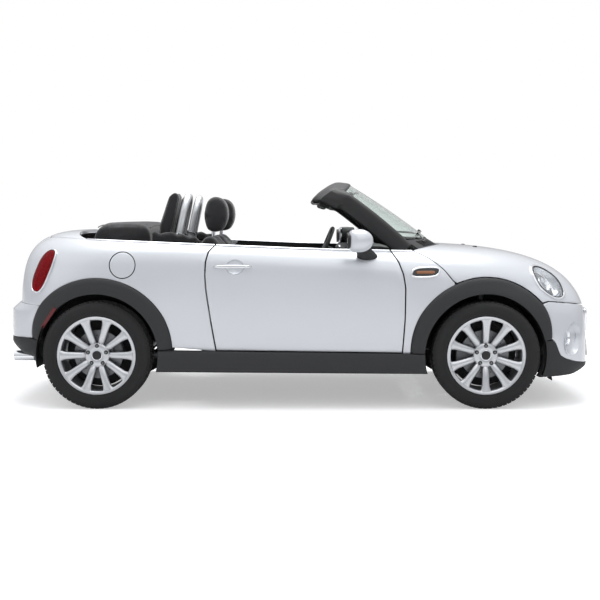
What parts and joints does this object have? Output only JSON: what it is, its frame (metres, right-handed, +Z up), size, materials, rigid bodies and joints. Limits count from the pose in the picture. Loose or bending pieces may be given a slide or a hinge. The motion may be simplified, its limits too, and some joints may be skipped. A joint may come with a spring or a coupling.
{
  "type": "two-door convertible car",
  "caption": "Small open two-door car with a folded soft top, cast alloy wheels, dark arch trims, opening doors, hood, boot lid and fuel flap, and steering.",
  "frame": {"origin": "on the ground under the middle of the car's overall box", "axes": "+X to the front, +Y to the car's left, +Z up"},
  "size_m": [3.725, 2.028, 1.4151],
  "materials": {
    "alloy": "silver lacquered cast alloy",
    "black_gloss": "black gloss",
    "black_matte": "black moulded plastic",
    "body_paint": "metallic silver-white paint, clear coat",
    "chrome": "polished chrome",
    "engine_metal": "cast metal",
    "glass": "clear laminated glass, faint green",
    "lamp_clear": "clear lamp lens",
    "lamp_red": "red lamp lens",
    "mirror_white": "white painted cap",
    "roof_fabric": "black woven canvas",
    "seat_fabric": "black seat cloth",
    "steel_dark": "bare machined steel",
    "trim_plastic": "textured dark grey moulded plastic",
    "tyre_rubber": "black rubber",
    "underbody": "dark underbody paint"
  },
  "bodies": {
    "root": {"floor_pan": "underbody", "arch_liners": "black_matte", "engine": "engine_metal", "front_side_panels": "body_paint", "quarter_panels": "body_paint", "rear_deck": "body_paint", "front_bumper": "body_paint", "front_valance": "trim_plastic", "rear_bumper": "body_paint", "rear_valance": "trim_plastic", "wheel_arch_trims": "trim_plastic", "sill_covers": "trim_plastic", "windscreen_frame": "black_matte", "windscreen": "glass", "cowl_panel": "black_matte", "wipers": "black_matte", "dashboard": "black_matte", "centre_console": "black_matte", "front_seats": "seat_fabric", "front_headrests": "seat_fabric", "rear_seat": "seat_fabric", "rear_headrests": "seat_fabric", "roll_hoops": "alloy", "folded_roof": "roof_fabric", "tail_lamps": "lamp_red", "radiator_grille": "black_gloss", "exhaust": "chrome", "front_suspension": "steel_dark", "rear_suspension": "steel_dark"},
    "knuckle_right": {"knuckle_right": "steel_dark"},
    "knuckle_left": {"knuckle_left": "steel_dark"},
    "wheel_front_right": {"wheel_front_right": "alloy", "tyre_front_right": "tyre_rubber"},
    "wheel_front_left": {"wheel_front_left": "alloy", "tyre_front_left": "tyre_rubber"},
    "wheel_rear_right": {"wheel_rear_right": "alloy", "tyre_rear_right": "tyre_rubber"},
    "wheel_rear_left": {"wheel_rear_left": "alloy", "tyre_rear_left": "tyre_rubber"},
    "door_right": {"door_right": "body_paint", "mirror_right": "mirror_white"},
    "door_left": {"door_left": "body_paint", "mirror_left": "mirror_white"},
    "hood": {"hood": "body_paint", "headlamps": "lamp_clear"},
    "boot_lid": {"boot_lid": "body_paint"},
    "fuel_flap": {"fuel_flap": "body_paint"},
    "steering_wheel": {"steering_wheel": "black_matte"}
  },
  "joints": [
    {"name": "steer_right", "type": "hinge", "parent": "root", "child": "knuckle_right", "pos_m": [1.1335, -0.664, 0.331], "axis": [0, 0, 1], "range_deg": [-32, 32]},
    {"name": "steer_left", "type": "hinge", "parent": "root", "child": "knuckle_left", "pos_m": [1.1335, 0.664, 0.331], "axis": [0, 0, 1], "range_deg": [-32, 32]},
    {"name": "steering_wheel_turn", "type": "hinge", "parent": "root", "child": "steering_wheel", "pos_m": [0.1625, 0.35, 0.938], "axis": [-0.9272, 0, 0.3746], "range_deg": [-450, 450]},
    {"name": "wheel_spin_front_right", "type": "hinge", "parent": "knuckle_right", "child": "wheel_front_right", "pos_m": [1.1335, -0.73, 0.331], "axis": [0, 1, 0], "continuous": true},
    {"name": "wheel_spin_front_left", "type": "hinge", "parent": "knuckle_left", "child": "wheel_front_left", "pos_m": [1.1335, 0.73, 0.331], "axis": [0, 1, 0], "continuous": true},
    {"name": "wheel_spin_rear_right", "type": "hinge", "parent": "root", "child": "wheel_rear_right", "pos_m": [-1.2535, -0.73, 0.331], "axis": [0, 1, 0], "continuous": true},
    {"name": "wheel_spin_rear_left", "type": "hinge", "parent": "root", "child": "wheel_rear_left", "pos_m": [-1.2535, 0.73, 0.331], "axis": [0, 1, 0], "continuous": true},
    {"name": "door_right_open", "type": "hinge", "parent": "root", "child": "door_right", "pos_m": [0.5725, -0.815, 0.6], "axis": [0, 0, 1], "range_deg": [0, 65]},
    {"name": "door_left_open", "type": "hinge", "parent": "root", "child": "door_left", "pos_m": [0.5725, 0.815, 0.6], "axis": [0, 0, -1], "range_deg": [0, 65]},
    {"name": "hood_open", "type": "hinge", "parent": "root", "child": "hood", "pos_m": [0.6935, 0, 0.985], "axis": [0, -1, 0], "range_deg": [0, 50]},
    {"name": "boot_lid_open", "type": "hinge", "parent": "root", "child": "boot_lid", "pos_m": [-1.7975, 0, 0.656], "axis": [0, -1, 0], "range_deg": [0, 85]},
    {"name": "fuel_flap_open", "type": "hinge", "parent": "root", "child": "fuel_flap", "pos_m": [-1.0185, -0.813, 0.884], "axis": [0, 0, 1], "range_deg": [0, 70]}
  ],
  "couplings": [
    {"joint": "steer_left", "follows": "steer_right", "ratio": 1},
    {"joint": "steering_wheel_turn", "follows": "steer_right", "ratio": 14}
  ]
}
